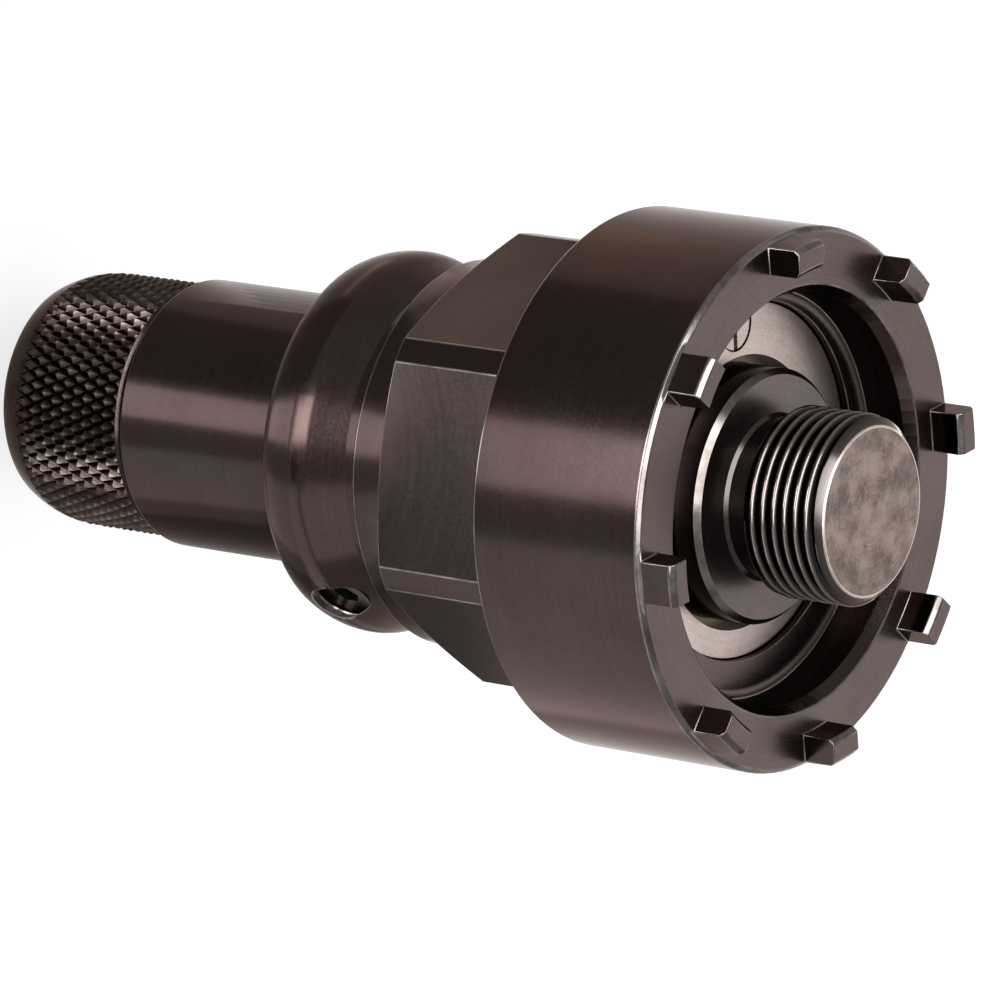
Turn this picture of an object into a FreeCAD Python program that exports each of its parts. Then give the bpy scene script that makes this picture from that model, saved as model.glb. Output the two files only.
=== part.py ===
import FreeCAD, Part
import math
import os

from FreeCAD import Vector

# Lockring tool for bicycles: a turned steel body with eight driving teeth, and through it a
# threaded spindle that a knob at the rear turns and slides.
# Millimetres. +Z is the tool's axis, towards the teeth. The origin is the centre of the knob's
# flat rear end, on which the tool stands.

# Knob
knob_radius = 10.5
knob_length = 13.3
knob_nose_length = 5.1
knob_nose_rounding = 10.0
knob_edge_rounding = 0.9
knob_front_chamfer = 0.3
knob_counterbore_radius = 4.8
knob_counterbore_depth = 5.6
knob_web_thickness = 1.7
knob_clearance_hole_radius = 2.75

# Thrust washer between the knob and the body
washer_inset = 0.9
washer_thickness = 0.4
washer_end_gap = 0.05
washer_bore_gap = 0.15

# Body, outside, from the rear
sleeve_radius = 10.95
sleeve_length = 17.6
sleeve_chamfer = 0.2
bead_crest_radius = 15.4
bead_crest_from_rear = 2.9
bead_rear_rounding = 6.0
bead_rear_chamfer = 0.3
bead_front_rounding = 3.6
bead_front_angle = 30.0
groove_radius = 13.4
groove_width = 2.12
collar_radius = 15.45
collar_length = 3.0
collar_chamfer = 0.25
hexagon_across_flats = 32.0
hexagon_corner_radius = 17.9
hexagon_length = 13.05
hexagon_bevel_angle = 20.0
hexagon_corner_angle = 32.3
cup_radius = 21.3
cup_length = 15.7
cup_rear_chamfer = 0.3
cup_front_chamfer = 0.35

# Teeth on the cup's front face
tooth_count = 8
tooth_height = 2.85
tooth_width = 3.4
tooth_thickness = 2.25
tooth_edge_chamfer = 0.4
tooth_angle = 17.6

# Inside of the cup, with depths below the front face
cup_wall = 3.4
undercut_depth = 4.05
lip_width = 1.1
lip_depth = 1.0
lip_bevel = 0.65
step_width = 1.95
step_bevel = 0.65
pocket_margin = 2.35
pocket_offset = 0.95
pocket_depth = 6.85

# Bushes, and the bores behind them
fit_gap = 0.04
front_bush_wall = 1.7
front_bush_length = 14.0
rear_bush_wall = 2.0
rear_bush_length = 11.5
rear_bush_recess = 0.5
head_bore_gap = 0.4
head_end_space = 1.0
shaft_bore_gap = 0.5

# Retaining plate in the pocket, and its screw
plate_thickness = 1.5
plate_edge_gap = 0.15
plate_hole_gap = 0.8
plate_web_thickness = 0.5
plate_screw_angle = 104.0
plate_screw_wall = 0.65
plate_screw_radius = 1.0
plate_screw_length = 5.0
plate_screw_head_radius = 1.95
plate_screw_head_height = 0.9
plate_screw_slot_width = 0.5
plate_screw_slot_depth = 0.45
plate_screw_gap = 0.15

# Spindle
spindle_travel = 6.0
spindle_reach = 6.8
thread_radius = 7.5
thread_end_chamfer = 0.9
thread_start_chamfer = 0.35
relief_radius = 6.1
relief_width = 1.75
relief_bevel = 0.5
head_radius = 10.0
head_depth = 2.5
head_length = 20.0
head_chamfer = 0.45
shaft_radius = 6.0
stop_groove_depth = 1.4
stub_radius = 4.5
stub_across_flats = 7.0

# Set screw in the bead, which limits the spindle's travel
set_screw_radius = 2.0
set_screw_angle = 238.5
set_screw_depth = 36.9
set_screw_recess = 1.3
set_screw_shoulder_gap = 0.4
set_screw_point_radius = 1.25
set_screw_point_gap = 0.4
set_screw_side_gap = 0.2
set_screw_socket_across_flats = 2.0
set_screw_socket_depth = 2.0
set_screw_mouth_chamfer = 0.3
thread_gap = 0.02

# Screw that holds the knob on the spindle
knob_screw_radius = 2.5
knob_screw_length = 13.0
knob_screw_end_space = 1.0
knob_screw_head_radius = 4.25
knob_screw_head_height = 5.0
knob_screw_socket_across_flats = 4.0
knob_screw_socket_depth = 2.8

# Heights along the axis, from the rear
stub_end = knob_counterbore_depth + knob_web_thickness
sleeve_start = knob_length + washer_thickness + 2 * washer_end_gap
bead_start = sleeve_start + sleeve_length
bead_crest = bead_start + bead_crest_from_rear
bead_slope = math.radians(bead_front_angle)
bead_slope_radius = bead_crest_radius - bead_front_rounding * (1 - math.cos(bead_slope))
bead_slope_start = bead_crest + bead_front_rounding * math.sin(bead_slope)
groove_start = bead_slope_start + (bead_slope_radius - groove_radius) / math.tan(bead_slope)
collar_start = groove_start + groove_width
hexagon_start = collar_start + collar_length
cup_start = hexagon_start + hexagon_length
front_face = cup_start + cup_length
tooth_top = front_face + tooth_height
undercut_floor = front_face - undercut_depth
pocket_floor = front_face - pocket_depth
plate_front = pocket_floor + plate_thickness
set_screw_height = front_face - set_screw_depth
head_front = front_face - head_depth
head_rear = head_front - head_length
thread_start = head_front + relief_width
spindle_end = front_face + spindle_reach

# Places across the axis
washer_outer_radius = knob_radius - washer_inset
tooth_outer_radius = cup_radius - cup_front_chamfer
tooth_inner_radius = tooth_outer_radius - tooth_thickness
undercut_radius = cup_radius - cup_wall
lip_mouth_radius = undercut_radius - lip_width
lip_inner_radius = lip_mouth_radius - lip_bevel
step_radius = undercut_radius - step_width
front_bush_outer_radius = head_radius + front_bush_wall
rear_bush_outer_radius = shaft_radius + rear_bush_wall
pocket_radius = front_bush_outer_radius + pocket_margin
plate_hole_radius = head_radius + plate_hole_gap
plate_screw_distance = front_bush_outer_radius + plate_screw_wall + plate_screw_radius
stop_groove_radius = shaft_radius - stop_groove_depth


def at(radius, height):
    """A point of an outline, from its distance to the axis and its height."""
    return Vector(radius, 0, height)


def turned(steps):
    """The solid that a closed outline sweeps round the axis.

    A step is a point that a straight line leads to, or a pair of points for an arc through the
    first to the second.
    """
    edges = []
    here = steps[0]
    for step in steps[1:] + steps[:1]:
        if isinstance(step[0], tuple):
            middle, end = step
            edges.append(Part.Arc(at(*here), at(*middle), at(*end)).toShape())
        else:
            end = step
            edges.append(Part.LineSegment(at(*here), at(*end)).toShape())
        here = end
    return Part.Face(Part.Wire(edges)).revolve(Vector(0, 0, 0), Vector(0, 0, 1), 360)


def cylinder(radius, low, high):
    """An upright cylinder on the axis between two heights."""
    return Part.makeCylinder(radius, high - low, at(0, low))


def tube(outer, inner, low, high):
    """An upright tube on the axis between two heights."""
    return turned([(inner, low), (outer, low), (outer, high), (inner, high)])


def hexagonal_prism(across_flats, low, high, corner_angle=0.0):
    """An upright six-sided prism on the axis between two heights."""
    reach = across_flats / math.sqrt(3)
    angles = [math.radians(corner_angle + 60 * k) for k in range(7)]
    corners = [Vector(reach * math.cos(a), reach * math.sin(a), low) for a in angles]
    return Part.Face(Part.makePolygon(corners)).extrude(Vector(0, 0, high - low))


def turn_about_axis(shape, angle):
    """A copy of a shape, turned about the tool's axis."""
    copy = shape.copy()
    copy.rotate(Vector(0, 0, 0), Vector(0, 0, 1), angle)
    return copy


def move_off_axis(shape, distance, angle):
    """A copy of a shape, moved away from the tool's axis towards an angle."""
    copy = shape.copy()
    copy.translate(Vector(distance, 0, 0))
    copy.rotate(Vector(0, 0, 0), Vector(0, 0, 1), angle)
    return copy


def point_outwards(shape, angle, height):
    """A copy of an upright shape, laid down so that its top points away from the axis."""
    copy = shape.copy()
    copy.rotate(Vector(0, 0, 0), Vector(0, 1, 0), 90)
    copy.translate(Vector(0, 0, height))
    return turn_about_axis(copy, angle)


def on_round(centre, rounding, angle):
    """The point of a round stretch at an angle, counted from straight out towards the teeth."""
    return (centre[0] + rounding * math.cos(angle), centre[1] + rounding * math.sin(angle))


def turned_blank():
    """The body's turned outside, from the end of the sleeve to the cup's front face."""
    rear_centre = (bead_crest_radius - bead_rear_rounding, bead_crest)
    rear_slope = -math.asin((bead_crest_from_rear - bead_rear_chamfer) / bead_rear_rounding)
    rear_edge = on_round(rear_centre, bead_rear_rounding, rear_slope)
    rear_middle = on_round(rear_centre, bead_rear_rounding, rear_slope / 2)
    front_centre = (bead_crest_radius - bead_front_rounding, bead_crest)
    front_middle = on_round(front_centre, bead_front_rounding, bead_slope / 2)
    front_edge = on_round(front_centre, bead_front_rounding, bead_slope)
    bevel_rise = (hexagon_corner_radius - collar_radius) * math.tan(math.radians(hexagon_bevel_angle))
    return turned([
        (0, sleeve_start),
        (sleeve_radius - sleeve_chamfer, sleeve_start),
        (sleeve_radius, sleeve_start + sleeve_chamfer),
        (sleeve_radius, bead_start),
        (rear_edge[0] - bead_rear_chamfer, bead_start),
        rear_edge,
        (rear_middle, (bead_crest_radius, bead_crest)),
        (front_middle, front_edge),
        (groove_radius, groove_start),
        (groove_radius, collar_start),
        (collar_radius - collar_chamfer, collar_start),
        (collar_radius, collar_start + collar_chamfer),
        (collar_radius, hexagon_start),
        (hexagon_corner_radius, hexagon_start + bevel_rise),
        (hexagon_corner_radius, cup_start),
        (cup_radius - cup_rear_chamfer, cup_start),
        (cup_radius, cup_start + cup_rear_chamfer),
        (cup_radius, front_face - cup_front_chamfer),
        (cup_radius - cup_front_chamfer, front_face),
        (0, front_face),
    ])


def hexagon_waste():
    """What milling the six flats takes off the turned blank."""
    blank = cylinder(cup_radius, hexagon_start, cup_start)
    return blank.cut(hexagonal_prism(hexagon_across_flats, hexagon_start, cup_start, hexagon_corner_angle))


def teeth():
    """The teeth: a turned ring with bevelled edges, cut into pieces of one width."""
    ring = turned([
        (tooth_inner_radius, front_face - cup_front_chamfer),
        (tooth_outer_radius, front_face - cup_front_chamfer),
        (tooth_outer_radius, tooth_top - tooth_edge_chamfer),
        (tooth_outer_radius - tooth_edge_chamfer, tooth_top),
        (tooth_inner_radius + tooth_edge_chamfer, tooth_top),
        (tooth_inner_radius, tooth_top - tooth_edge_chamfer),
    ])
    root = front_face - cup_front_chamfer
    slab = Part.makeBox(cup_radius, tooth_width, tooth_top - root, Vector(0, -tooth_width / 2, root))
    spacing = 360 / tooth_count
    return [ring.common(turn_about_axis(slab, tooth_angle + spacing * k)) for k in range(tooth_count)]


def cup_hollow():
    """The cup's hollow: the mouth behind the teeth, the undercut and the stepped floor."""
    step_floor = undercut_floor - step_bevel
    return turned([
        (0, front_face),
        (lip_mouth_radius, front_face),
        (lip_inner_radius, front_face - lip_depth),
        (undercut_radius, front_face - lip_depth),
        (undercut_radius, undercut_floor),
        (step_radius, undercut_floor),
        (step_radius - step_bevel, step_floor),
        (0, step_floor),
    ])


def bores():
    """The stepped bore from the plate's pocket to the sleeve's rear end."""
    head_bore_end = head_rear - spindle_travel - head_end_space
    rear_seat_end = sleeve_start + rear_bush_recess + rear_bush_length
    pocket = Part.makeCylinder(pocket_radius, pocket_depth, Vector(0, pocket_offset, pocket_floor))
    return [
        pocket,
        cylinder(front_bush_outer_radius, pocket_floor - front_bush_length, pocket_floor),
        cylinder(head_radius + head_bore_gap, head_bore_end, pocket_floor),
        cylinder(shaft_radius + shaft_bore_gap, sleeve_start, pocket_floor),
        cylinder(rear_bush_outer_radius, sleeve_start, rear_seat_end),
    ]


def set_screw_hole():
    """The tapped hole through the bead, with its bevelled mouth."""
    hole = Part.makeCylinder(set_screw_radius + thread_gap, cup_radius)
    mouth_length = 3 * set_screw_mouth_chamfer
    mouth = Part.makeCone(set_screw_radius, set_screw_radius + mouth_length, mouth_length)
    mouth.translate(at(0, bead_crest_radius - 2 * set_screw_mouth_chamfer))
    return point_outwards(hole.fuse(mouth), set_screw_angle, set_screw_height)


def plate_screw_room():
    """The room for the plate's screw: a round seat for its head over a tapped hole."""
    seat_floor = pocket_floor + plate_web_thickness
    head_top = seat_floor + plate_screw_head_height
    seat_top = max(head_top, undercut_floor)
    hole_end = seat_floor - plate_screw_length - plate_screw_gap
    seat = cylinder(plate_screw_head_radius + plate_screw_gap, seat_floor, seat_top)
    hole = cylinder(plate_screw_radius + thread_gap, hole_end, seat_floor)
    return move_off_axis(seat.fuse(hole), plate_screw_distance, plate_screw_angle)


def tool_body():
    """The body, one piece of steel: sleeve, bead, groove, collar, hexagon, cup and teeth."""
    body = turned_blank().fuse(teeth()).removeSplitter()
    rooms = [hexagon_waste(), cup_hollow(), set_screw_hole(), plate_screw_room()] + bores()
    return body.cut(rooms).removeSplitter()


def front_bush():
    """The bush in which the spindle's head turns and slides."""
    bore = head_radius + fit_gap
    return tube(front_bush_outer_radius, bore, pocket_floor - front_bush_length, pocket_floor)


def rear_bush():
    """The bush that carries the spindle's shaft at the rear of the sleeve."""
    low = sleeve_start + rear_bush_recess
    return tube(rear_bush_outer_radius, shaft_radius + fit_gap, low, low + rear_bush_length)


def retaining_plate():
    """The bare steel plate that holds the front bush, wider on the side of its screw."""
    centre = Vector(0, pocket_offset, pocket_floor)
    disc = Part.makeCylinder(pocket_radius - plate_edge_gap, plate_thickness, centre)
    return disc.cut([cylinder(plate_hole_radius, pocket_floor, plate_front), plate_screw_room()])


def plate_screw():
    """The slotted screw at the plate's edge."""
    head_low = pocket_floor + plate_web_thickness
    head_top = head_low + plate_screw_head_height
    head = cylinder(plate_screw_head_radius, head_low, head_top)
    shank = cylinder(plate_screw_radius, head_low - plate_screw_length, head_low)
    slot_corner = Vector(
        -plate_screw_head_radius, -plate_screw_slot_width / 2, head_top - plate_screw_slot_depth)
    slot = Part.makeBox(
        2 * plate_screw_head_radius, plate_screw_slot_width, plate_screw_slot_depth, slot_corner)
    return move_off_axis(head.fuse(shank).cut(slot), plate_screw_distance, plate_screw_angle)


def travel_set_screw():
    """The socket set screw in the bead, whose point stands in the spindle's stop groove."""
    point_end = stop_groove_radius + set_screw_point_gap
    shoulder = shaft_radius + shaft_bore_gap + set_screw_shoulder_gap
    top = bead_crest_radius - set_screw_recess
    screw = cylinder(set_screw_radius, shoulder, top)
    point = cylinder(set_screw_point_radius, point_end, shoulder)
    socket = hexagonal_prism(set_screw_socket_across_flats, top - set_screw_socket_depth, top)
    return point_outwards(screw.fuse(point).cut(socket), set_screw_angle, set_screw_height)


def stub_waste(across_flats):
    """The two blocks beside the flats of the spindle's stub."""
    length = 4 * stub_radius
    corner = Vector(-length / 2, across_flats / 2, stub_end)
    block = Part.makeBox(length, stub_radius, knob_length - stub_end, corner)
    return [block, turn_about_axis(block, 180)]


def spindle():
    """The spindle: thread, relief, head, shaft with its stop groove, and the knob's stub."""
    groove_reach = set_screw_point_radius + set_screw_side_gap
    groove_low = set_screw_height - groove_reach
    groove_high = set_screw_height + groove_reach + spindle_travel
    solid = turned([
        (0, stub_end),
        (stub_radius, stub_end),
        (stub_radius, knob_length),
        (shaft_radius, knob_length),
        (shaft_radius, groove_low),
        (stop_groove_radius, groove_low),
        (stop_groove_radius, groove_high),
        (shaft_radius, groove_high),
        (shaft_radius, head_rear),
        (head_radius - head_chamfer, head_rear),
        (head_radius, head_rear + head_chamfer),
        (head_radius, head_front - head_chamfer),
        (head_radius - head_chamfer, head_front),
        (relief_radius + relief_bevel, head_front),
        (relief_radius, head_front + relief_bevel),
        (relief_radius, thread_start),
        (thread_radius - thread_start_chamfer, thread_start),
        (thread_radius, thread_start + thread_start_chamfer),
        (thread_radius, spindle_end - thread_end_chamfer),
        (thread_radius - thread_end_chamfer, spindle_end),
        (0, spindle_end),
    ])
    hole_end = knob_counterbore_depth + knob_screw_length + knob_screw_end_space
    screw_hole = cylinder(knob_screw_radius + thread_gap, stub_end, hole_end)
    return solid.cut([screw_hole] + stub_waste(stub_across_flats))


def knob():
    """The knob, with a rounded rear, a seat for its screw and a hole that fits the stub."""
    nose_centre = (knob_radius - knob_nose_rounding, knob_nose_length)
    reach = knob_nose_rounding - knob_edge_rounding
    slope = -math.asin((knob_nose_length - knob_edge_rounding) / reach)
    edge_centre = on_round(nose_centre, reach, slope)
    edge_middle = on_round(edge_centre, knob_edge_rounding, (slope - math.pi / 2) / 2)
    edge_end = on_round(nose_centre, knob_nose_rounding, slope)
    nose_middle = on_round(nose_centre, knob_nose_rounding, slope / 2)
    solid = turned([
        (0, 0),
        (edge_centre[0], 0),
        (edge_middle, edge_end),
        (nose_middle, (knob_radius, knob_nose_length)),
        (knob_radius, knob_length - knob_front_chamfer),
        (knob_radius - knob_front_chamfer, knob_length),
        (0, knob_length),
    ])
    stub_hole = cylinder(stub_radius + fit_gap, stub_end, knob_length)
    stub_hole = stub_hole.cut(stub_waste(stub_across_flats + 2 * fit_gap))
    counterbore = cylinder(knob_counterbore_radius, 0, knob_counterbore_depth)
    clearance_hole = cylinder(knob_clearance_hole_radius, knob_counterbore_depth, stub_end)
    return solid.cut([stub_hole, counterbore, clearance_hole])


def knob_screw():
    """The cap screw that holds the knob on the spindle's stub."""
    head_low = knob_counterbore_depth - knob_screw_head_height
    head = cylinder(knob_screw_head_radius, head_low, knob_counterbore_depth)
    shank_end = knob_counterbore_depth + knob_screw_length
    shank = cylinder(knob_screw_radius, knob_counterbore_depth, shank_end)
    socket_end = head_low + knob_screw_socket_depth
    socket = hexagonal_prism(knob_screw_socket_across_flats, head_low, socket_end)
    return head.fuse(shank).cut(socket)


def thrust_washer():
    """The thin washer that runs between the knob and the body's rear end."""
    low = knob_length + washer_end_gap
    return tube(washer_outer_radius, shaft_radius + washer_bore_gap, low, low + washer_thickness)


makers = [
    tool_body,
    front_bush,
    rear_bush,
    retaining_plate,
    plate_screw,
    travel_set_screw,
    spindle,
    knob,
    knob_screw,
    thrust_washer,
]

os.makedirs("parts", exist_ok=True)
for maker in makers:
    shape = maker()
    shape.exportStep("parts/" + maker.__name__ + ".step")
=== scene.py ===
"""Lockring tool: looks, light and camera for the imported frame."""
import math

import bmesh
import bpy
from mathutils import Matrix, Vector


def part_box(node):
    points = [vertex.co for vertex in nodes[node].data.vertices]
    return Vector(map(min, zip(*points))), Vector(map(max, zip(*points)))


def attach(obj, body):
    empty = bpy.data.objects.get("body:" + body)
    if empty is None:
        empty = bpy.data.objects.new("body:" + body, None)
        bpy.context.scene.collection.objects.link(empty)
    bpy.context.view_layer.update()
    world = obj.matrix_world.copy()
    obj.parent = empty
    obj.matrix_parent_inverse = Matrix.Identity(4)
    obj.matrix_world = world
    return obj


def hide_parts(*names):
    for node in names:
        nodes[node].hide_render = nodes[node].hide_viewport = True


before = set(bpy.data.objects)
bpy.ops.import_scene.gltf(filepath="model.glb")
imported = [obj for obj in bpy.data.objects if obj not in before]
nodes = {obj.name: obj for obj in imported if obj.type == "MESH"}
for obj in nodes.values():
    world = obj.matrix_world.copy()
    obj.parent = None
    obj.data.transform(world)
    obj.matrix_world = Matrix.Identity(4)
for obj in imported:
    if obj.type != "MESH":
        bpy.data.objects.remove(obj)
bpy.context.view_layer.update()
mm = 0.001

# Knob
knob_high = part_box("knob")[1]
knob_radius = knob_high.x
knob_length = knob_high.z
knob_nose_length = 5.1 * mm
knob_nose_rounding = 10.0 * mm
knob_edge_rounding = 0.9 * mm
knob_front_chamfer = 0.3 * mm
knurl_count = 61
knurl_pitch = 2.13 * mm
knurl_depth = 0.43 * mm
knurl_start = 2.2 * mm
knurl_steps = 8
knurl_blunting = 0.07
counterbore_radius = 4.8 * mm
counterbore_depth = 5.6 * mm
counterbore_chamfer = 0.15 * mm
clearance_hole_radius = 2.75 * mm
stub_bore_radius = 4.54 * mm

# Spindle
spindle_low, spindle_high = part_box("spindle")
spindle_end = spindle_high.z
stub_end = spindle_low.z
stub_radius = 4.5 * mm
shaft_radius = 6.0 * mm
slide_travel = 6.0 * mm
head_radius = spindle_high.x
head_front = 70.1 * mm
head_length = 20.0 * mm
head_chamfer = 0.45 * mm
relief_radius = 6.33 * mm
relief_width = 2.25 * mm
relief_bevel = 0.27 * mm
thread_radius = 7.5 * mm
thread_pitch = 1.0 * mm
thread_depth = 0.61 * mm
thread_root_start = 0.92
thread_crest_rounding = 1.8
thread_crest = 73.14 * mm  # the height of a crest at the angle below, in degrees
thread_crest_angle = 175.3
thread_start = head_front + relief_width
thread_start_chamfer = 0.35 * mm
thread_end_chamfer = 0.9 * mm
thread_end_radius = thread_radius - thread_end_chamfer
thread_steps = 16
rim_break = 0.1 * mm
centre_radius = 0.05 * mm
columns = 256

# Body
edge_angle = 25.0
edge_break = 0.09 * mm
bead_start = 30.0 * mm
hexagon_start = 43.85 * mm
hexagon_reach = 14.0 * mm  # the bores are nearer to the axis than this
hexagon_corner_angle = 32.3
cup_start = 56.9 * mm
cup_chamfer = 0.35 * mm
front_face = 72.6 * mm

# Stage
floor_reach = 3.0
floor_level = -slide_travel - 0.1 * mm
panel_height = 0.5 * mm
panel_steps = 8
lamp_distance = 0.62
lamp_aim = Vector((0, 0, 45 * mm))
white = (1.0, 1.0, 1.0)
cool = (0.96, 1.0, 1.08)


# Node helpers


def new_material(name):
    """An empty node material and its shader."""
    material = bpy.data.materials.new(name)
    material.use_nodes = True
    tree = material.node_tree
    shader = tree.nodes["Principled BSDF"]
    return material, tree, shader


def add(tree, kind, **settings):
    """A node with its settings."""
    node = tree.nodes.new(kind)
    for key, value in settings.items():
        setattr(node, key, value)
    return node


def maths(tree, operation, first, second=None, third=None):
    """The output of a Math node."""
    node = add(tree, "ShaderNodeMath", operation=operation)
    for socket, value in zip(node.inputs, (first, second, third)):
        if value is None:
            continue
        if isinstance(value, bpy.types.NodeSocket):
            tree.links.new(value, socket)
        else:
            socket.default_value = value
    return node.outputs[0]


def ranged(tree, value, low, high, to_low, to_high):
    """A value, carried from one range to another and held there."""
    node = add(tree, "ShaderNodeMapRange")
    tree.links.new(value, node.inputs["Value"])
    names = ("From Min", "From Max", "To Min", "To Max")
    for name, number in zip(names, (low, high, to_low, to_high)):
        node.inputs[name].default_value = number
    return node.outputs["Result"]


def blended(tree, factor, first, second):
    """A colour between two others."""
    node = add(tree, "ShaderNodeMix", data_type="RGBA")
    tree.links.new(factor, node.inputs["Factor"])
    for name, value in (("A", first), ("B", second)):
        socket = [s for s in node.inputs if s.name == name and s.type == "RGBA"][0]
        if isinstance(value, bpy.types.NodeSocket):
            tree.links.new(value, socket)
        else:
            socket.default_value = (*value, 1.0)
    return [s for s in node.outputs if s.type == "RGBA"][0]


def split(tree, vector):
    """A vector's three numbers."""
    node = add(tree, "ShaderNodeSeparateXYZ")
    tree.links.new(vector, node.inputs[0])
    return node.outputs["X"], node.outputs["Y"], node.outputs["Z"]


def joined(tree, *numbers):
    """The vector that two or three numbers make."""
    node = add(tree, "ShaderNodeCombineXYZ")
    for number, socket in zip(numbers, node.inputs):
        tree.links.new(number, socket)
    return node.outputs[0]


def object_place(tree):
    """The place on the object: its coordinates, height, distance to the axis and direction from it."""
    place = add(tree, "ShaderNodeTexCoord").outputs["Object"]
    x, y, height = split(tree, place)
    across = joined(tree, x, y)
    length = add(tree, "ShaderNodeVectorMath", operation="LENGTH")
    tree.links.new(across, length.inputs[0])
    direction = add(tree, "ShaderNodeVectorMath", operation="NORMALIZE")
    tree.links.new(across, direction.inputs[0])
    return place, height, length.outputs["Value"], direction.outputs["Vector"]


def noise(tree, vector, scale, detail=2.0, roughness=0.6):
    """The value of a noise texture."""
    node = add(tree, "ShaderNodeTexNoise")
    tree.links.new(vector, node.inputs["Vector"])
    node.inputs["Scale"].default_value = scale
    node.inputs["Detail"].default_value = detail
    node.inputs["Roughness"].default_value = roughness
    return node.outputs["Fac"]


def turning_marks(tree, marks_per_mm, variation=1.2):
    """Fine lines round the axis, as a cutting tool leaves them on cylinders, cones and faces."""
    _, height, radius, direction = object_place(tree)
    run = maths(tree, "MULTIPLY", maths(tree, "ADD", height, radius), marks_per_mm / mm)
    spread = add(tree, "ShaderNodeVectorMath", operation="SCALE")
    tree.links.new(direction, spread.inputs[0])
    spread.inputs["Scale"].default_value = variation
    x, y, _ = split(tree, spread.outputs["Vector"])
    return noise(tree, joined(tree, x, y, run), 1.0, detail=3.0)


def bump(tree, shader, height, depth):
    """Relief of a given depth in metres."""
    node = add(tree, "ShaderNodeBump")
    node.inputs["Strength"].default_value = 1.0
    node.inputs["Distance"].default_value = depth
    tree.links.new(height, node.inputs["Height"])
    tree.links.new(node.outputs["Normal"], shader.inputs["Normal"])


def metal(tree, shader, colour, roughness, edge_tint):
    """Makes the shader a metal, tinted where it is seen at a grazing angle."""
    tree.links.new(colour, shader.inputs["Base Color"])
    tree.links.new(roughness, shader.inputs["Roughness"])
    shader.inputs["Metallic"].default_value = 1.0
    shader.inputs["Specular Tint"].default_value = (*edge_tint, 1.0)


# Materials


def turned_steel(name, dark, light, roughness, marks, relief, edge_tint=white, faces=None,
                 lit_face_height=0.0, grain_relief=0.5, stains=0.4, stain_scale=0.16):
    """Machined metal with turning marks, satin grain and faint stains.

    Faces that look along the axis above a height may have a lighter, duller pair of colours, a painted
    highlight for the light that those faces catch.
    """
    grain_share, line_share, contrast = 0.35, 0.3, 0.16
    grain_spread, line_spread, face_dulling = 0.12, 0.06, 0.1
    material, tree, shader = new_material(name)
    place, height, _, _ = object_place(tree)
    lines = turning_marks(tree, marks)
    grain = noise(tree, place, 4.5 / mm)
    cloud = noise(tree, place, stain_scale / mm, detail=4.0)
    tone = maths(tree, "MULTIPLY_ADD", grain, grain_share, maths(tree, "MULTIPLY", cloud, stains))
    tone = maths(tree, "MULTIPLY_ADD", lines, line_share, tone)
    middle = (grain_share + stains + line_share) / 2
    tone = ranged(tree, tone, middle - contrast, middle + contrast, 0.0, 1.0)
    colour = blended(tree, tone, dark, light)
    spread = maths(tree, "MULTIPLY_ADD", grain, grain_spread, maths(tree, "MULTIPLY", lines, line_spread))
    spread = maths(tree, "ADD", spread, roughness - (grain_spread + line_spread) / 2)
    # Painted highlight: faces that look up, above the height, take the lighter pair of colours.
    if faces:
        _, _, up = split(tree, add(tree, "ShaderNodeTexCoord").outputs["Normal"])
        high = maths(tree, "GREATER_THAN", height, lit_face_height)
        lit_face_share = maths(tree, "MULTIPLY", ranged(tree, up, 0.8, 0.97, 0.0, 1.0), high)
        colour = blended(tree, lit_face_share, colour, blended(tree, tone, *faces))
        spread = maths(tree, "MULTIPLY_ADD", lit_face_share, face_dulling, spread)
    metal(tree, shader, colour, spread, edge_tint)
    bump(tree, shader, maths(tree, "MULTIPLY_ADD", grain, grain_relief, lines), relief)
    return material


def blackened_steel():
    return turned_steel(
        "blackened_steel", dark=(0.0205, 0.0137, 0.0129), light=(0.0305, 0.0212, 0.0202),
        roughness=0.185, marks=7.0, relief=0.00022 * mm, edge_tint=(0.76, 0.68, 0.66),
        # The faces pair is a painted highlight on the cup's faces that look forward, such as its front
        # face and the teeth's tops.
        faces=((0.060, 0.046, 0.0445), (0.090, 0.072, 0.0695)), lit_face_height=67.5 * mm, grain_relief=5.0)


def milled_steel():
    return turned_steel(
        "milled_steel", dark=(0.0225, 0.0165, 0.0155), light=(0.0315, 0.0240, 0.0226),
        roughness=0.20, marks=2.0, relief=0.0001 * mm, edge_tint=(0.58, 0.55, 0.53), grain_relief=10.0)


def spindle_steel():
    return turned_steel(
        "spindle_steel", dark=(0.022, 0.0185, 0.0180), light=(0.042, 0.0365, 0.0352),
        roughness=0.20, marks=4.0, relief=0.0005 * mm, edge_tint=(0.8, 0.75, 0.73),
        # The faces pair is a painted highlight on the spindle head's front face.
        faces=((0.060, 0.049, 0.047), (0.095, 0.079, 0.077)), lit_face_height=68.0 * mm)


def bare_steel():
    return turned_steel(
        "bare_steel", dark=(0.25, 0.204, 0.183), light=(0.42, 0.352, 0.322),
        roughness=0.32, marks=5.0, relief=0.0014 * mm)


def end_steel():
    return turned_steel(
        "end_steel", dark=(0.068, 0.048, 0.040), light=(0.168, 0.128, 0.110),
        roughness=0.32, marks=6.0, relief=0.0009 * mm, grain_relief=2.0, stains=1.1, stain_scale=0.5)


def bronze():
    return turned_steel(
        "bronze", dark=(0.30, 0.18, 0.09), light=(0.44, 0.28, 0.14),
        roughness=0.34, marks=5.0, relief=0.0008 * mm)


def oiled_and_shaded_bronze():
    # Bronze darkened nearly to black: partly oil, partly painted shade for the dark gap between the
    # spindle head and the plate where the front bush shows.
    return turned_steel(
        "oiled_and_shaded_bronze", dark=(0.046, 0.035, 0.025), light=(0.085, 0.066, 0.048),
        roughness=0.28, marks=6.0, relief=0.0003 * mm)


def screw_steel():
    return turned_steel(
        "screw_steel", dark=(0.040, 0.034, 0.032), light=(0.075, 0.066, 0.062),
        roughness=0.28, marks=6.0, relief=0.0003 * mm)


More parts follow.
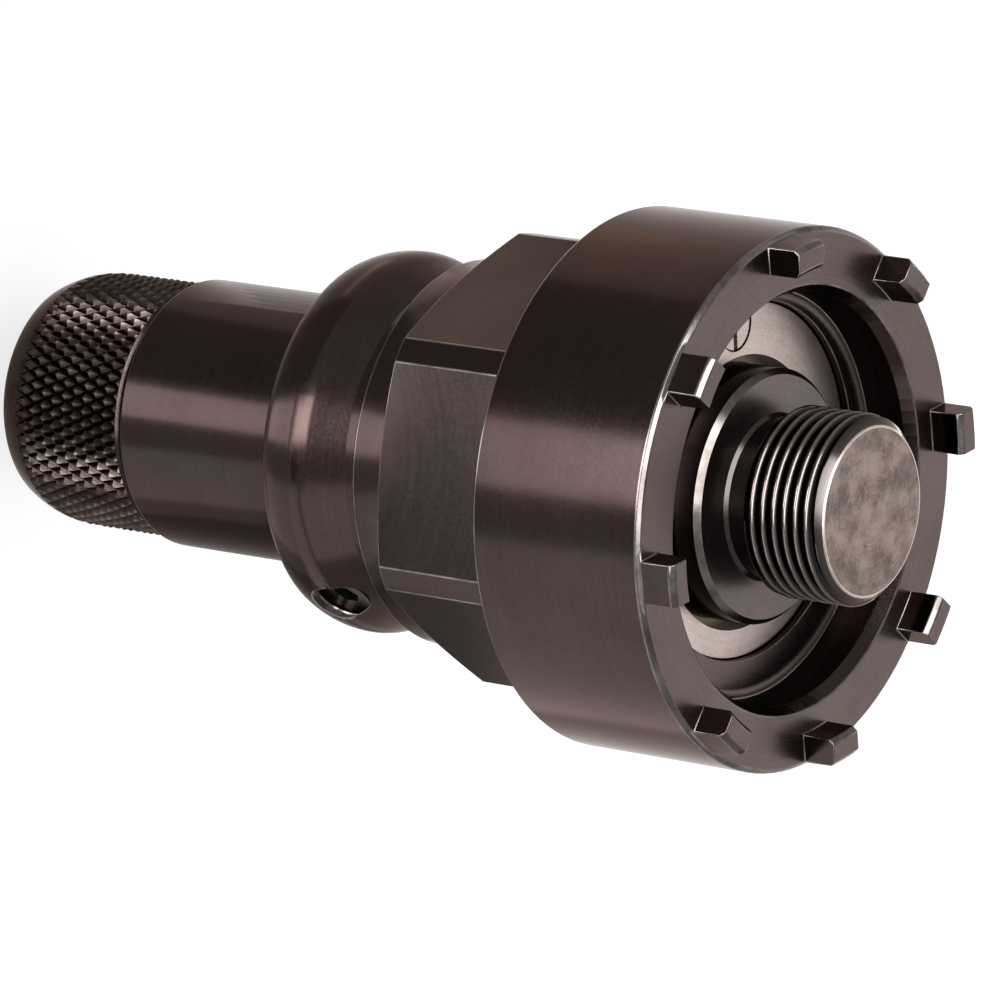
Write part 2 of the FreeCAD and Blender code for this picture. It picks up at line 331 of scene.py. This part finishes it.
def edge_wear_and_highlight_steel():
    """Edges that handling has rubbed bright, made brighter still as painted highlight lines, but for
    those beside the knob.
    """
    material, tree, shader = new_material("edge_wear_and_highlight_steel")
    place, height, _, _ = object_place(tree)
    grain = noise(tree, place, 3.0 / mm)
    cloud = noise(tree, place, 0.25 / mm, detail=3.0)
    # Wear and painted highlight: the bright edge colour, in patches, from the bead forward.
    wear_and_highlight = maths(tree, "MULTIPLY", ranged(tree, cloud, 0.3, 0.6, 0.0, 1.0),
                 ranged(tree, height, bead_start, bead_start + 1.0 * mm, 0.0, 1.0))
    bright = blended(tree, grain, (0.080, 0.071, 0.067), (0.130, 0.117, 0.110))
    colour = blended(tree, wear_and_highlight, (0.026, 0.0185, 0.0175), bright)
    metal(tree, shader, colour, maths(tree, "MULTIPLY_ADD", grain, 0.1, 0.18), (0.9, 0.86, 0.84))
    return material


def knurled_steel():
    """Dark steel whose knurl tips are lighter, from wear and as painted glints, and kept dark at the
    front edge as painted shade.
    """
    material, tree, shader = new_material("knurled_steel")
    place, height, radius, _ = object_place(tree)
    grain = noise(tree, place, 5.0 / mm)
    cloud = noise(tree, place, 0.5 / mm, detail=3.0)
    tone = ranged(tree, maths(tree, "ADD", grain, cloud), 0.8, 1.2, 0.0, 1.0)
    colour = blended(tree, tone, (0.012, 0.0083, 0.0074), (0.026, 0.0195, 0.0173))
    edge = knob_length - knob_front_chamfer
    # Lighter tips: wear, and painted glints.
    wear_and_highlight = ranged(tree, radius, knob_radius - 0.6 * knurl_depth, knob_radius - 0.05 * mm, 0.0, 1.0)
    wear_and_highlight = maths(tree, "MULTIPLY", wear_and_highlight, ranged(tree, cloud, 0.35, 0.6, 0.35, 1.0))
    # Painted shade: the tips' lightness fades out at the front edge.
    wear_and_highlight = maths(tree, "MULTIPLY", wear_and_highlight, ranged(tree, height, edge - 0.2 * mm, edge, 1.0, 0.1))
    colour = blended(tree, wear_and_highlight, colour, (0.080, 0.065, 0.056))
    metal(tree, shader, colour, maths(tree, "MULTIPLY_ADD", grain, 0.14, 0.15), (0.7, 0.63, 0.6))
    bump(tree, shader, grain, 0.0006 * mm)
    return material


def thread_steel():
    """Thread flanks painted dark as shade in the grooves, crests rubbed bright by nuts and painted
    brighter as highlight lines, and a painted highlight on the end chamfer.
    """
    material, tree, shader = new_material("thread_steel")
    place, height, radius, _ = object_place(tree)
    grain = noise(tree, place, 4.5 / mm)
    # Painted shade: the flanks are darker than the body's steel.
    flank = blended(tree, grain, (0.008, 0.0065, 0.0063), (0.020, 0.0170, 0.0165))
    # Painted highlight: the end chamfer's lighter colour.
    bevel = ranged(tree, height, spindle_end - thread_end_chamfer, spindle_end, 0.0, 1.0)
    flank = blended(tree, bevel, flank, (0.060, 0.052, 0.049))
    crest = blended(tree, grain, (0.070, 0.062, 0.058), (0.120, 0.107, 0.100))
    # Lighter crests: wear, and painted highlight lines.
    crest_wear_and_highlight = ranged(tree, radius, thread_radius - 0.22 * mm, thread_radius - 0.06 * mm, 0.0, 1.0)
    colour = blended(tree, crest_wear_and_highlight, flank, crest)
    metal(tree, shader, colour, maths(tree, "MULTIPLY_ADD", grain, 0.12, 0.13), (0.7, 0.64, 0.62))
    bump(tree, shader, grain, 0.0003 * mm)
    return material


def dress(node, material):
    """Puts one material on a CAD node."""
    mesh = nodes[node].data
    mesh.materials.clear()
    mesh.materials.append(material)


# Meshes


def make_piece(name, points, faces, materials, body, replaced, sharp):
    """A mesh in the frame, smooth but for edges over an angle, that stands for a CAD node."""
    mesh = bpy.data.meshes.new(name)
    mesh.from_pydata(points, [], faces)
    cleaned = bmesh.new()
    cleaned.from_mesh(mesh)
    bmesh.ops.remove_doubles(cleaned, verts=cleaned.verts, dist=1e-7)
    bmesh.ops.dissolve_degenerate(cleaned, edges=cleaned.edges, dist=1e-8)
    bmesh.ops.recalc_face_normals(cleaned, faces=cleaned.faces)
    cleaned.to_mesh(mesh)
    cleaned.free()
    mesh.shade_smooth()
    mesh.set_sharp_from_angle(angle=math.radians(sharp))
    for material in materials:
        mesh.materials.append(material)
    piece = bpy.data.objects.new(name, mesh)
    bpy.context.scene.collection.objects.link(piece)
    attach(piece, body)
    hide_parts(replaced)
    return piece


def around(radius, angle, height):
    """The point at a distance from the axis, an angle round it and a height."""
    return radius * math.cos(angle), radius * math.sin(angle), height


def turns(count):
    """The angles of evenly spread columns round the axis."""
    return [2 * math.pi * column / count for column in range(count)]


def join_rings(first, second, count, faces):
    """Adds the faces between two rings, each given by its first point."""
    for column in range(count):
        after = (column + 1) % count
        faces.append((first + column, first + after, second + after, second + column))


def rings(profile, count, points, faces):
    """Adds the surface that a list of (radius, height) sweeps round the axis."""
    start = len(points)
    for radius, height in profile:
        points.extend(around(radius, angle, height) for angle in turns(count))
    for row in range(len(profile) - 1):
        join_rings(start + row * count, start + (row + 1) * count, count, faces)


def cap(count, points, faces):
    """Closes the last ring."""
    faces.append(tuple(range(len(points) - count, len(points))))


def slopes_forward(face):
    """Whether a face is a front chamfer of about 45 degrees."""
    return 0.6 < face.normal.z < 0.8


def arc(centre, radius, start, end, steps):
    """Points of an arc in an outline, with angles from straight out towards the teeth."""
    angles = [start + (end - start) * k / steps for k in range(steps + 1)]
    return [(centre[0] + radius * math.cos(a), centre[1] + radius * math.sin(a)) for a in angles]


def knob_outline():
    """The knob's rounded rear, from its flat to the nose's end."""
    nose_centre = (knob_radius - knob_nose_rounding, knob_nose_length)
    reach = knob_nose_rounding - knob_edge_rounding
    slope = -math.asin((knob_nose_length - knob_edge_rounding) / reach)
    edge_centre = arc(nose_centre, reach, slope, slope, 1)[0]
    outline = arc(edge_centre, knob_edge_rounding, -math.pi / 2, slope, 8)
    return outline + arc(nose_centre, knob_nose_rounding, slope, 0.0, 24)[1:]


def knob_limit(height):
    """The knob's radius at a height, before knurling."""
    limit = knob_radius
    if height < knob_nose_length:
        drop = knob_nose_length - height
        limit = knob_radius - knob_nose_rounding + math.sqrt(knob_nose_rounding ** 2 - drop ** 2)
    return min(limit, knob_radius - knob_front_chamfer + knob_length - height)


def ridge(phase):
    """0 in a groove and 1 half way between two grooves."""
    return 1.0 - abs(2.0 * (phase % 1.0) - 1.0)


def knurl_radius(angle, height):
    """The knob's radius with its diamond knurl."""
    turn = knurl_count * angle / (2 * math.pi)
    climb = height / knurl_pitch
    top = 1.0 - knurl_blunting
    rise = min(ridge(turn + climb), ridge(turn - climb), top)
    crest = knob_radius - knurl_depth * (1.0 - rise / top)
    return min(crest, knob_limit(height))


def knurled_knob(material):
    """The knob, with crossed grooves cut as pointed diamonds."""
    points, faces = [], []
    count = knurl_count * knurl_steps
    row_height = knurl_pitch / knurl_steps
    first_row = math.ceil(knurl_start / row_height)
    last_row = math.floor(knob_length / row_height)
    heights = [row_height * k for k in range(first_row, last_row + 1)]
    for height in heights:
        points.extend(around(knurl_radius(angle, height), angle, height) for angle in turns(count))
    for row in range(len(heights) - 1):
        middle_height = (heights[row] + heights[row + 1]) / 2
        below, above = row * count, (row + 1) * count
        for column in range(count):
            after = (column + 1) % count
            angle = 2 * math.pi * (column + 0.5) / count
            centre = len(points)
            points.append(around(knurl_radius(angle, middle_height), angle, middle_height))
            corners = (below + column, below + after, above + after, above + column)
            for k in range(4):
                faces.append((corners[k], corners[(k + 1) % 4], centre))
    knurl_foot = (knob_limit(heights[0]), heights[0])
    counterbore = [
        (clearance_hole_radius, stub_end),
        (clearance_hole_radius, counterbore_depth),
        (counterbore_radius, counterbore_depth),
        (counterbore_radius, counterbore_chamfer),
        (counterbore_radius + counterbore_chamfer, 0.0),
    ]
    nose = [(r, z) for r, z in knob_outline() if z < heights[0] - 0.05 * mm]
    rings(counterbore + nose + [knurl_foot], count, points, faces)
    front = [
        (knob_limit(heights[-1]), heights[-1]),
        (knob_radius - knob_front_chamfer, knob_length),
        (stub_bore_radius, knob_length),
        (stub_bore_radius, stub_end),
        (clearance_hole_radius, stub_end),
    ]
    rings(front, count, points, faces)
    make_piece("knurled_knob", points, faces, [material], "spindle", "knob", 20.0)


def thread_surface(angle, height):
    """The thread's radius: rounded crests over narrow roots, bevelled at both ends."""
    turn = (angle - math.radians(thread_crest_angle)) / (2 * math.pi)
    phase = ((height - thread_crest) / thread_pitch - turn) % 1.0
    away = 2 * min(phase, 1.0 - phase)
    fall = min(away ** thread_crest_rounding, thread_root_start) / thread_root_start
    start = thread_radius - thread_start_chamfer + (height - thread_start)
    end = thread_end_radius + (spindle_end - height)
    return min(thread_radius - thread_depth * fall, start, end)


def thread_helix(points, faces):
    """Adds the thread, in rows that climb by one pitch in a turn."""
    crest_start = thread_crest - math.radians(thread_crest_angle) / (2 * math.pi) * thread_pitch
    first_turn = math.floor((thread_start - crest_start) / thread_pitch) - 2
    last_turn = math.ceil((spindle_end - crest_start) / thread_pitch) + 1
    rows = [crest_start + (turn + step / thread_steps) * thread_pitch
            for turn in range(first_turn, last_turn) for step in range(thread_steps)]
    for column, angle in enumerate(turns(columns)):
        for row in rows:
            height = row + thread_pitch * column / columns
            height = min(max(height, thread_start), spindle_end - rim_break)
            points.append(around(thread_surface(angle, height), angle, height))
    for column in range(columns):
        last = column == columns - 1
        a = column * len(rows)
        b = 0 if last else a + len(rows)
        shift = thread_steps if last else 0
        for row in range(len(rows) - 1 - shift):
            faces.append((a + row, a + row + 1, b + row + 1 + shift, b + row + shift))


def thread_foot(points, faces):
    """Adds the face that steps down from the thread's start to the relief."""
    start = len(points)
    points.extend(around(thread_surface(angle, thread_start), angle, thread_start)
                  for angle in turns(columns))
    points.extend(around(relief_radius, angle, thread_start) for angle in turns(columns))
    join_rings(start, start + columns, columns, faces)


def spindle_finish(face):
    """A spindle face's place in the list of materials that threaded_spindle puts on it."""
    plain, end, edge, thread, rim = range(5)
    distance = math.hypot(face.center.x, face.center.y)
    height = face.center.z
    if height > spindle_end - 0.5 * rim_break and distance < thread_end_radius - rim_break:
        return end
    # The end's rim takes bare steel: wear, and a painted highlight line.
    if height > spindle_end - rim_break:
        return rim
    if height > thread_start:
        return thread
    # The head's front chamfer takes the edge material: wear, and a painted highlight line.
    return edge if slopes_forward(face) and distance > head_radius - head_chamfer else plain


def threaded_spindle(material, end_material, edge_material, thread_material, rim_material):
    """The spindle, with its thread as one helix between two bevelled ends."""
    points, faces = [], []
    thread_helix(points, faces)
    end_face = [
        (thread_end_radius + rim_break, spindle_end - rim_break),
        (thread_end_radius, spindle_end),
        (thread_end_radius - rim_break, spindle_end),
        (centre_radius, spindle_end),
    ]
    rings(end_face, columns, points, faces)
    cap(columns, points, faces)
    thread_foot(points, faces)
    head_rear = head_front - head_length
    rear = [
        (relief_radius, thread_start),
        (relief_radius, head_front + relief_bevel),
        (relief_radius + relief_bevel, head_front),
        (head_radius - head_chamfer, head_front),
        (head_radius, head_front - head_chamfer),
        (head_radius, head_rear + head_chamfer),
        (head_radius - head_chamfer, head_rear),
        (shaft_radius, head_rear),
        (shaft_radius, knob_length),
        (stub_radius, knob_length),
        (stub_radius, stub_end),
        (centre_radius, stub_end),
    ]
    rings(rear, columns, points, faces)
    cap(columns, points, faces)
    materials = [material, end_material, edge_material, thread_material, rim_material]
    piece = make_piece(
        "threaded_spindle", points, faces, materials, "spindle", "spindle", 38.0)
    for face in piece.data.polygons:
        face.material_index = spindle_finish(face)


def body_mesh():
    """The body's CAD mesh with its flat faces merged and its outer edges and the teeth's roots marked for
    the bevel.
    """
    shaped = bmesh.new()
    shaped.from_mesh(nodes["tool_body"].data)
    bmesh.ops.remove_doubles(shaped, verts=shaped.verts, dist=1e-6)
    bmesh.ops.dissolve_limit(
        shaped, angle_limit=math.radians(0.05), verts=shaped.verts, edges=shaped.edges)
    weight = shaped.edges.layers.float.new("bevel_weight_edge")
    for edge in shaped.edges:
        if len(edge.link_faces) != 2:
            continue
        turn = edge.calc_face_angle_signed()
        # The teeth's roots are bevelled too, so that the edge material paints highlight lines at the
        # teeth's bases.
        tooth_root = turn < -1.0 and all(abs(v.co.z - front_face) < 0.01 * mm for v in edge.verts)
        if turn > math.radians(edge_angle) or tooth_root:
            edge[weight] = 1.0
    mesh = bpy.data.meshes.new("body")
    shaped.to_mesh(mesh)
    shaped.free()
    mesh.shade_smooth()
    mesh.set_sharp_from_angle(angle=math.radians(edge_angle))
    return mesh


def body_finish(face):
    """A body face's place in the list of materials that softened_body puts on it."""
    plain, edge, flat = range(3)
    # The cup's front chamfer takes the edge material: wear, and a painted highlight line.
    if slopes_forward(face) and face.center.z > front_face - cup_chamfer:
        return edge
    angle = math.degrees(math.atan2(face.normal.y, face.normal.x)) - hexagon_corner_angle
    faces_out = abs(angle % 60 - 30) < 0.5 and abs(face.normal.z) < 0.01
    on_hexagon = hexagon_start < face.center.z < cup_start and face.center.xy.length > hexagon_reach
    return flat if faces_out and on_hexagon else plain


def softened_body(material, edge_material, flat_material):
    """The body, with its outer edges broken by a hair and brightened: wear, and painted highlight lines.
    """
    mesh = body_mesh()
    for each in (material, edge_material, flat_material):
        mesh.materials.append(each)
    for face in mesh.polygons:
        face.material_index = body_finish(face)
    piece = bpy.data.objects.new("body", mesh)
    bpy.context.scene.collection.objects.link(piece)
    bevel = piece.modifiers.new("edges", "BEVEL")
    bevel.limit_method = "WEIGHT"
    bevel.width = edge_break
    bevel.segments = 2
    bevel.use_clamp_overlap = False
    # The bevels take the edge material: wear, and painted highlight lines.
    bevel.material = 1
    normals = piece.modifiers.new("normals", "WEIGHTED_NORMAL")
    normals.keep_sharp = True
    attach(piece, "tool_body")
    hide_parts("tool_body")


# Stage


def floor():
    """A plain white floor, just below the pulled-back knob and clear when looked at from below."""
    corners = [(-floor_reach, -floor_reach, floor_level), (floor_reach, -floor_reach, floor_level),
               (floor_reach, floor_reach, floor_level), (-floor_reach, floor_reach, floor_level)]
    mesh = bpy.data.meshes.new("floor")
    mesh.from_pydata(corners, [], [(0, 1, 2, 3)])
    plane = bpy.data.objects.new("floor", mesh)
    bpy.context.scene.collection.objects.link(plane)
    material, tree, shader = new_material("white_floor")
    shader.inputs["Base Color"].default_value = (0.5, 0.5, 0.5, 1.0)
    shader.inputs["Roughness"].default_value = 0.9
    shader.inputs["Specular IOR Level"].default_value = 0.0
    path = add(tree, "ShaderNodeLightPath")
    seen = maths(tree, "MAXIMUM", path.outputs["Is Camera Ray"], path.outputs["Is Glossy Ray"])
    seen = maths(tree, "MAXIMUM", seen, path.outputs["Is Transmission Ray"])
    shader.inputs["Emission Color"].default_value = (*white, 1.0)
    tree.links.new(maths(tree, "MULTIPLY", seen, 0.64), shader.inputs["Emission Strength"])
    below = add(tree, "ShaderNodeNewGeometry").outputs["Backfacing"]
    mixed = add(tree, "ShaderNodeMixShader")
    clear = add(tree, "ShaderNodeBsdfTransparent")
    tree.links.new(below, mixed.inputs[0])
    tree.links.new(shader.outputs[0], mixed.inputs[1])
    tree.links.new(clear.outputs[0], mixed.inputs[2])
    tree.links.new(mixed.outputs[0], tree.nodes["Material Output"].inputs["Surface"])
    mesh.materials.append(material)
    return plane


def sky():
    """An even white surrounding."""
    world = bpy.data.worlds.new("studio")
    bpy.context.scene.world = world
    world.use_nodes = True
    background = world.node_tree.nodes["Background"]
    background.inputs["Color"].default_value = (*white, 1.0)
    background.inputs["Strength"].default_value = 1.0


def outward(azimuth, elevation):
    """The direction that has an azimuth and an elevation in degrees."""
    a, e = math.radians(azimuth), math.radians(elevation)
    return Vector((math.cos(a) * math.cos(e), math.sin(a) * math.cos(e), math.sin(e)))


def softbox(name, azimuth, elevation, width, height, radiance, colour=white):
    """An area lamp that faces the tool's middle from a direction and leaves the floor alone."""
    out = outward(azimuth, elevation)
    lamp = bpy.data.lights.new(name, "AREA")
    lamp.shape = "RECTANGLE"
    lamp.size = width
    lamp.size_y = height
    lamp.energy = radiance * math.pi * width * height
    lamp.color = colour
    light = bpy.data.objects.new(name, lamp)
    light.location = lamp_aim + out * lamp_distance
    light.rotation_mode = "QUATERNION"
    light.rotation_quaternion = out.to_track_quat("Z", "Y")
    bpy.context.scene.collection.objects.link(light)
    light.visible_camera = False
    light.light_linking.receiver_collection = kept_off_floor


def floor_sector(name, start, end, near, far, radiance, colour=white):
    """A light or card over the floor, seen in reflections only.

    It lies between two directions from the axis in degrees and two distances in millimetres.
    """
    angles = [math.radians(start + (end - start) * k / panel_steps) for k in range(panel_steps + 1)]
    corners = [around(near * mm, a, panel_height) for a in angles]
    corners += [around(far * mm, a, panel_height) for a in reversed(angles)]
    mesh = bpy.data.meshes.new(name)
    mesh.from_pydata(corners, [], [tuple(range(len(corners)))])
    panel = bpy.data.objects.new(name, mesh)
    bpy.context.scene.collection.objects.link(panel)
    material, tree, _ = new_material(name)
    tree.nodes.clear()
    glow = add(tree, "ShaderNodeEmission")
    glow.inputs["Strength"].default_value = radiance
    glow.inputs["Color"].default_value = (*colour, 1.0)
    output = add(tree, "ShaderNodeOutputMaterial")
    tree.links.new(glow.outputs[0], output.inputs["Surface"])
    mesh.materials.append(material)
    panel.visible_camera = False
    panel.visible_diffuse = False
    panel.visible_shadow = False


def camera():
    """The photograph's view: its direction, distance and roll about the line of sight."""
    azimuth, elevation, distance, roll = 175.287, 35.7005, 593.99 * mm, 98.638
    aim = Vector((-0.236, -2.862, 43.679)) * mm
    back = outward(azimuth, elevation)
    right = Vector((-math.sin(math.radians(azimuth)), math.cos(math.radians(azimuth)), 0))
    level = Matrix((right, back.cross(right), back)).transposed()
    lens = bpy.data.cameras.new("photograph")
    lens.lens = 274.06
    lens.sensor_width = 36.0
    eye = bpy.data.objects.new("photograph", lens)
    turned_about = level @ Matrix.Rotation(math.radians(roll), 3, "Z")
    eye.matrix_world = Matrix.Translation(aim + back * distance) @ turned_about.to_4x4()
    bpy.context.scene.collection.objects.link(eye)
    bpy.context.scene.camera = eye


bpy.context.scene.view_settings.view_transform = "Standard"
camera()
kept_off_floor = bpy.data.collections.new("kept_off_floor")
kept_off_floor.objects.link(floor())
kept_off_floor.collection_objects[0].light_linking.link_state = "EXCLUDE"
sky()

# Lamps
softbox("key_low", azimuth=172.0, elevation=6.5, width=0.28, height=0.25, radiance=18.0)
softbox("key_high", azimuth=157.0, elevation=52.0, width=0.80, height=0.22, radiance=15.0)
softbox("fill", azimuth=231.0, elevation=15.0, width=0.50, height=0.34, radiance=2.0, colour=cool)
softbox("rear", azimuth=355.0, elevation=34.0, width=0.80, height=0.50, radiance=0.9)

# Lights and cards near the floor, for the bands that the body's side walls reflect
floor_sector("key_near", start=162.8, end=185.5, near=22.0, far=69.0, radiance=7.0)
floor_sector("key_collar", start=162.8, end=187.0, near=69.0, far=74.5, radiance=10.0)
floor_sector("key_hexagon", start=161.5, end=187.0, near=74.5, far=93.0, radiance=0.7)
floor_sector("key_cup", start=161.5, end=187.0, near=93.0, far=135.0, radiance=7.0)
floor_sector("key_far", start=161.5, end=185.0, near=135.0, far=620.0, radiance=17.0)
floor_sector("fill_near", start=207.0, end=248.0, near=22.0, far=80.0, radiance=2.5, colour=cool)
floor_sector("fill_far", start=206.5, end=292.0, near=80.0, far=400.0, radiance=3.0, colour=cool)
floor_sector("warm_near", start=60.0, end=98.0, near=58.0, far=84.0, radiance=2.5,
             colour=(1.0, 0.95, 0.90))
floor_sector("warm_far", start=60.0, end=98.0, near=84.0, far=115.0, radiance=1.5,
             colour=(1.0, 0.88, 0.76))
floor_sector("dark_gap", start=188.0, end=205.0, near=135.0, far=620.0, radiance=0.25)
floor_sector("rear_strip", start=-18.0, end=12.0, near=22.0, far=620.0, radiance=5.0)
floor_sector("dark_card", start=100.0, end=158.0, near=22.0, far=400.0, radiance=0.6)
floor_sector("small_dark_card", start=262.0, end=325.0, near=22.0, far=78.0, radiance=0.45)

# The edge material: wear, and painted highlight lines.
wear_and_highlight = edge_wear_and_highlight_steel()
bare = bare_steel()
screws = screw_steel()
softened_body(blackened_steel(), wear_and_highlight, milled_steel())
for node, material in (
        ("retaining_plate", bare), ("thrust_washer", bare), ("plate_screw", bare),
        ("front_bush", oiled_and_shaded_bronze()), ("rear_bush", bronze()),
        ("travel_set_screw", screws), ("knob_screw", screws)):
    dress(node, material)
knurled_knob(knurled_steel())
threaded_spindle(spindle_steel(), end_steel(), wear_and_highlight, thread_steel(), bare)
